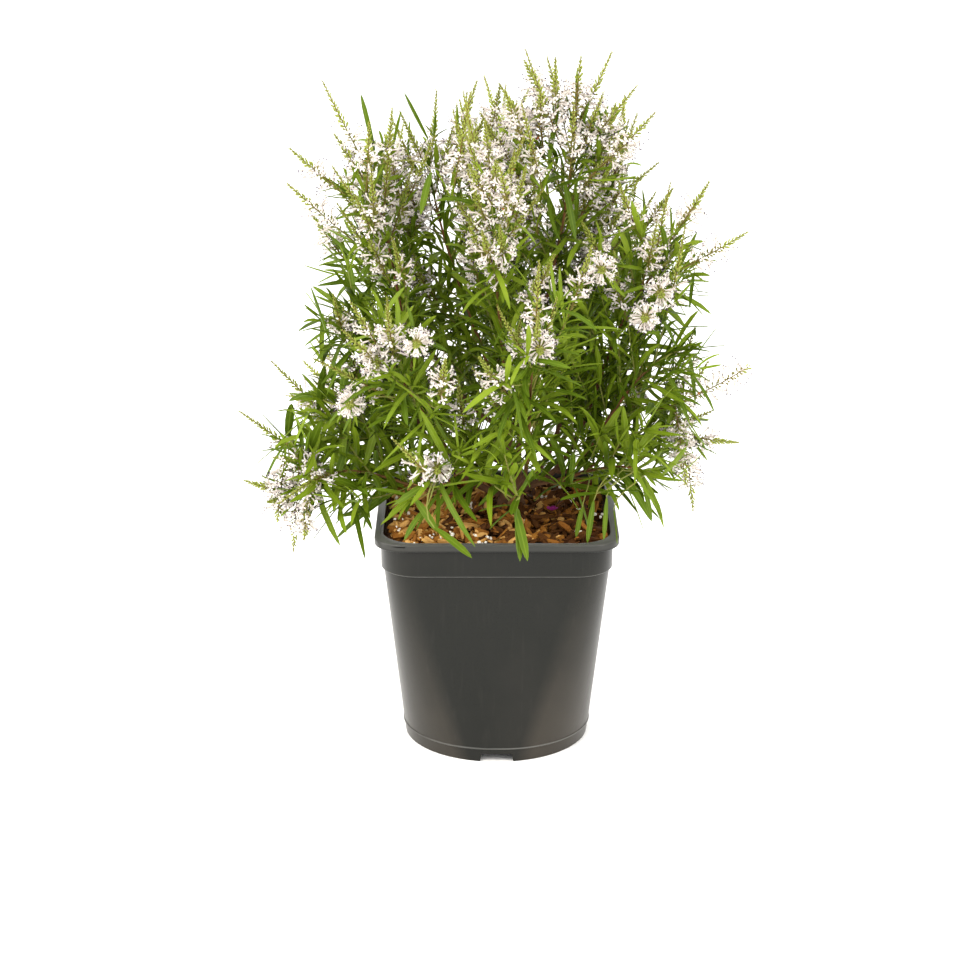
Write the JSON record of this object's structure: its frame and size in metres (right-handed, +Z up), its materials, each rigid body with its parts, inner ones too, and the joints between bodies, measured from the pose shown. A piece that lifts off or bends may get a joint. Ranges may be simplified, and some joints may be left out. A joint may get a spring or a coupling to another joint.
{
  "type": "potted hebe shrub",
  "caption": "Flowering hebe shrub with narrow arching leaves and white flower spikes, standing in a square-rimmed dark grey nursery pot filled with bark mulch",
  "frame": {"origin": "On the ground under the middle of the pot, at the bottom centre of the whole plant's box", "axes": "+Z up; -Y is the front, the side that the picture shows; +X is to the right in that view"},
  "size_m": [0.4327, 0.432, 0.5761],
  "materials": {
    "pot_plastic": "satin moulded plastic, dark warm grey, with faint scuffs",
    "bark_mulch": "rough broken bark chips, tan to dark brown, with pale mineral crumbs",
    "bark": "rough grey-brown bark with fine lengthwise cracks",
    "young_bark": "smooth red-brown young bark, greener towards the tips",
    "foliage": "satin mid-green narrow leaves with white flowers and pale green buds"
  },
  "bodies": {
    "root": {"pot": "pot_plastic", "bark_mulch": "bark_mulch", "trunk": "bark", "bough_upper_right": "young_bark", "bough_upper_centre": "young_bark", "bough_upper_centre_left": "young_bark", "bough_upper_left": "young_bark", "bough_right_shoulder": "young_bark", "bough_upper_right_back": "young_bark", "bough_back_top": "young_bark", "bough_front_middle": "young_bark", "bough_left_middle": "young_bark", "bough_left_low": "young_bark", "bough_left_hanging": "young_bark", "bough_front_left_middle": "young_bark", "bough_front_left_low": "young_bark", "bough_front_right_low": "young_bark", "bough_right_skirt": "young_bark", "bough_right_middle": "young_bark", "bough_right_low": "young_bark", "bough_back_right_middle": "young_bark", "bough_back_right_low": "young_bark", "bough_back_middle": "young_bark", "bough_back_low": "young_bark", "bough_back_left_middle": "young_bark", "bough_back_left_low": "young_bark", "foliage_upper_right": "foliage", "foliage_upper_centre": "foliage", "foliage_upper_centre_left": "foliage", "foliage_upper_left": "foliage", "foliage_right_shoulder": "foliage", "foliage_upper_right_back": "foliage", "foliage_back_top": "foliage", "foliage_front_middle": "foliage", "foliage_left_middle": "foliage", "foliage_left_low": "foliage", "foliage_left_hanging": "foliage", "foliage_front_left_middle": "foliage", "foliage_front_left_low": "foliage", "foliage_front_right_low": "foliage", "foliage_right_skirt": "foliage", "foliage_right_middle": "foliage", "foliage_right_low": "foliage", "foliage_back_right_middle": "foliage", "foliage_back_right_low": "foliage", "foliage_back_middle": "foliage", "foliage_back_low": "foliage", "foliage_back_left_middle": "foliage", "foliage_back_left_low": "foliage"}
  },
  "joints": []
}
